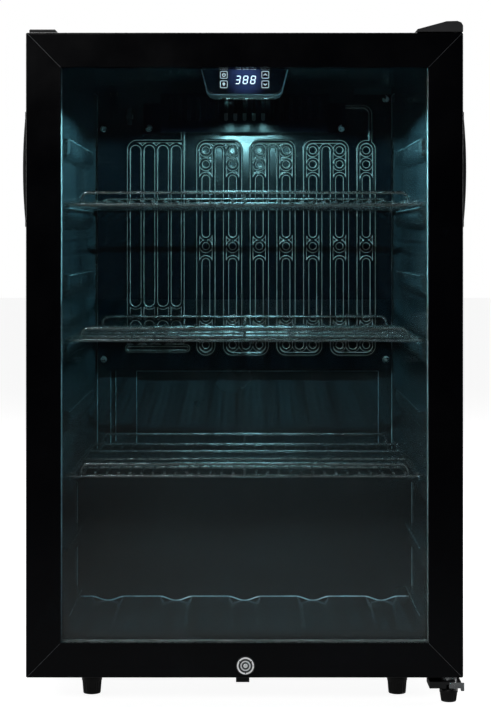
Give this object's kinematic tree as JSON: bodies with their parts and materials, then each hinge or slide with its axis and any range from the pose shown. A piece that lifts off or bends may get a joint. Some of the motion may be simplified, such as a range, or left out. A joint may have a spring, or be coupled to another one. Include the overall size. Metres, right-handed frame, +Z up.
{
  "type": "glass door merchandiser",
  "caption": "Black undercounter drinks cooler with a hinged double-glazed door, wire shelves, cold plate, fan, digital control panel, cam lock and levelling feet.",
  "frame": {"origin": "on the floor, under the middle of the whole object's bounding box", "axes": "+Z up, -Y towards the customer (the door's face), +X to the right seen from the front"},
  "size_m": [0.487, 0.503, 0.751],
  "materials": {
    "cabinet_paint": "fine textured black powder coat",
    "base_steel": "satin black paint",
    "galvanised": "galvanised sheet",
    "liner_plastic": "glossy black moulded plastic",
    "foam": "rigid foam",
    "evaporator_coat": "glossy black coated aluminium",
    "bare_aluminium": "drawn aluminium",
    "black_plastic": "satin moulded black plastic",
    "gloss_black": "glossy black",
    "fan_plastic": "satin black plastic",
    "white_plastic": "satin white plastic",
    "board": "green circuit board",
    "lens": "clear moulded lens",
    "zinc": "bright zinc plate",
    "chrome": "polished chrome",
    "glass": "clear float glass",
    "gasket_rubber": "soft black seal",
    "foot_plastic": "ribbed black plastic",
    "rubber": "black rubber",
    "compressor_paint": "gloss black enamel",
    "copper": "drawn copper",
    "shelf_wire": "glossy black coated wire"
  },
  "bodies": {
    "cabinet": {"outer_cabinet": "cabinet_paint", "bottom_panel": "galvanised", "rear_panel": "galvanised", "liner": "liner_plastic", "insulation_foam": "foam", "evaporator_plate": "evaporator_coat", "evaporator_tubes": "bare_aluminium", "inner_screws": "zinc", "fan_cover": "black_plastic", "fan_frame": "fan_plastic", "temperature_sensor": "white_plastic", "control_housing": "black_plastic", "control_fascia": "gloss_black", "display_module": "gloss_black", "control_boards": "board", "led_lens": "lens", "upper_hinge_bracket": "base_steel", "hinge_screws": "zinc", "upper_hinge_cover": "black_plastic", "lower_hinge_bracket": "base_steel", "lower_hinge_fittings": "zinc", "lock_strike": "base_steel", "foot_nuts": "zinc", "rear_feet": "foot_plastic", "compressor_base_plate": "galvanised", "compressor": "compressor_paint", "compressor_mounts": "rubber", "terminal_cover": "black_plastic", "refrigerant_pipes": "copper", "mains_inlet": "black_plastic", "drip_tray": "black_plastic", "condenser": "base_steel", "rear_spacers": "black_plastic"},
    "door": {"door_bottom_rail": "gloss_black", "door_right_stile": "gloss_black", "door_top_rail": "gloss_black", "door_left_stile": "gloss_black", "outer_glass_pane": "glass", "inner_glass_pane": "glass", "pane_spacer": "bare_aluminium", "door_gasket": "gasket_rubber", "right_grip": "black_plastic", "left_grip": "black_plastic", "lock_body": "chrome", "lock_escutcheon": "black_plastic", "hinge_bushes": "black_plastic", "hinge_hole_cover": "black_plastic"},
    "lock": {"lock_plug": "chrome", "lock_cam": "zinc"},
    "fan": {"fan_rotor": "fan_plastic"},
    "shelf_low": {"lower_shelf": "shelf_wire"},
    "shelf_mid": {"middle_shelf": "shelf_wire"},
    "shelf_top": {"upper_shelf": "shelf_wire"},
    "key_power": {"power_button": "gloss_black"},
    "key_light": {"light_button": "gloss_black"},
    "key_up": {"up_button": "gloss_black"},
    "key_down": {"down_button": "gloss_black"},
    "foot_left": {"front_left_foot": "foot_plastic"},
    "foot_right": {"front_right_foot": "foot_plastic"},
    "foot_hinge": {"hinge_foot": "foot_plastic"}
  },
  "joints": [
    {"name": "door_hinge", "type": "hinge", "parent": "cabinet", "child": "door", "pos_m": [0.226, -0.229, 0.384], "axis": [0, 0, 1], "range_deg": [0, 110]},
    {"name": "lock_turn", "type": "hinge", "parent": "door", "child": "lock", "pos_m": [0.001, -0.24, 0.0435], "axis": [0, -1, 0], "range_deg": [0, 90]},
    {"name": "fan_spin", "type": "hinge", "parent": "cabinet", "child": "fan", "pos_m": [0, 0.1342, 0.66], "axis": [0, 0, 1], "continuous": true},
    {"name": "shelf_low_slide", "type": "slide", "parent": "cabinet", "child": "shelf_low", "axis": [0, -1, 0], "range_m": [0, 0.03]},
    {"name": "shelf_mid_slide", "type": "slide", "parent": "cabinet", "child": "shelf_mid", "axis": [0, -1, 0], "range_m": [0, 0.03]},
    {"name": "shelf_top_slide", "type": "slide", "parent": "cabinet", "child": "shelf_top", "axis": [0, -1, 0], "range_m": [0, 0.03]},
    {"name": "key_power_press", "type": "slide", "parent": "cabinet", "child": "key_power", "axis": [0, 1, 0], "range_m": [0, 0.001], "stiffness_N_per_m": 600, "springref_m": -0.0005},
    {"name": "key_light_press", "type": "slide", "parent": "cabinet", "child": "key_light", "axis": [0, 1, 0], "range_m": [0, 0.001], "stiffness_N_per_m": 600, "springref_m": -0.0005},
    {"name": "key_up_press", "type": "slide", "parent": "cabinet", "child": "key_up", "axis": [0, 1, 0], "range_m": [0, 0.001], "stiffness_N_per_m": 600, "springref_m": -0.0005},
    {"name": "key_down_press", "type": "slide", "parent": "cabinet", "child": "key_down", "axis": [0, 1, 0], "range_m": [0, 0.001], "stiffness_N_per_m": 600, "springref_m": -0.0005},
    {"name": "foot_left_adjust", "type": "slide", "parent": "cabinet", "child": "foot_left", "axis": [0, 0, -1], "range_m": [0, 0.008]},
    {"name": "foot_right_adjust", "type": "slide", "parent": "cabinet", "child": "foot_right", "axis": [0, 0, -1], "range_m": [0, 0.008]},
    {"name": "foot_hinge_adjust", "type": "slide", "parent": "cabinet", "child": "foot_hinge", "axis": [0, 0, -1], "range_m": [0, 0.005]}
  ]
}
